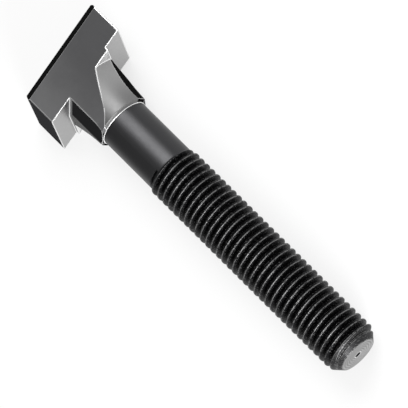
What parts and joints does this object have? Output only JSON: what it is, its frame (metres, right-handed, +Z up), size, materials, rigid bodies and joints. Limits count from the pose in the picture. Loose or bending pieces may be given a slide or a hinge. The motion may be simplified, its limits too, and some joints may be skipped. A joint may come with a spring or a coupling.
{
  "type": "t slot bolt",
  "caption": "Forged T-slot bolt: a slanted head that drops in and turns to lock, a relieved neck, a plain shank and a coarse right-hand thread with a bevelled point.",
  "frame": {"origin": "on the bolt's axis, in the bearing plane under the head", "axes": "+X along the axis to the thread end, +Z up and square to the head's long faces; the bolt lies on one of them"},
  "size_m": [0.1402, 0.0518, 0.0206],
  "materials": {
    "black_oxide_steel": "satin black oxide on forged steel"
  },
  "bodies": {
    "root": {"t_slot_bolt": "black_oxide_steel"}
  },
  "joints": []
}
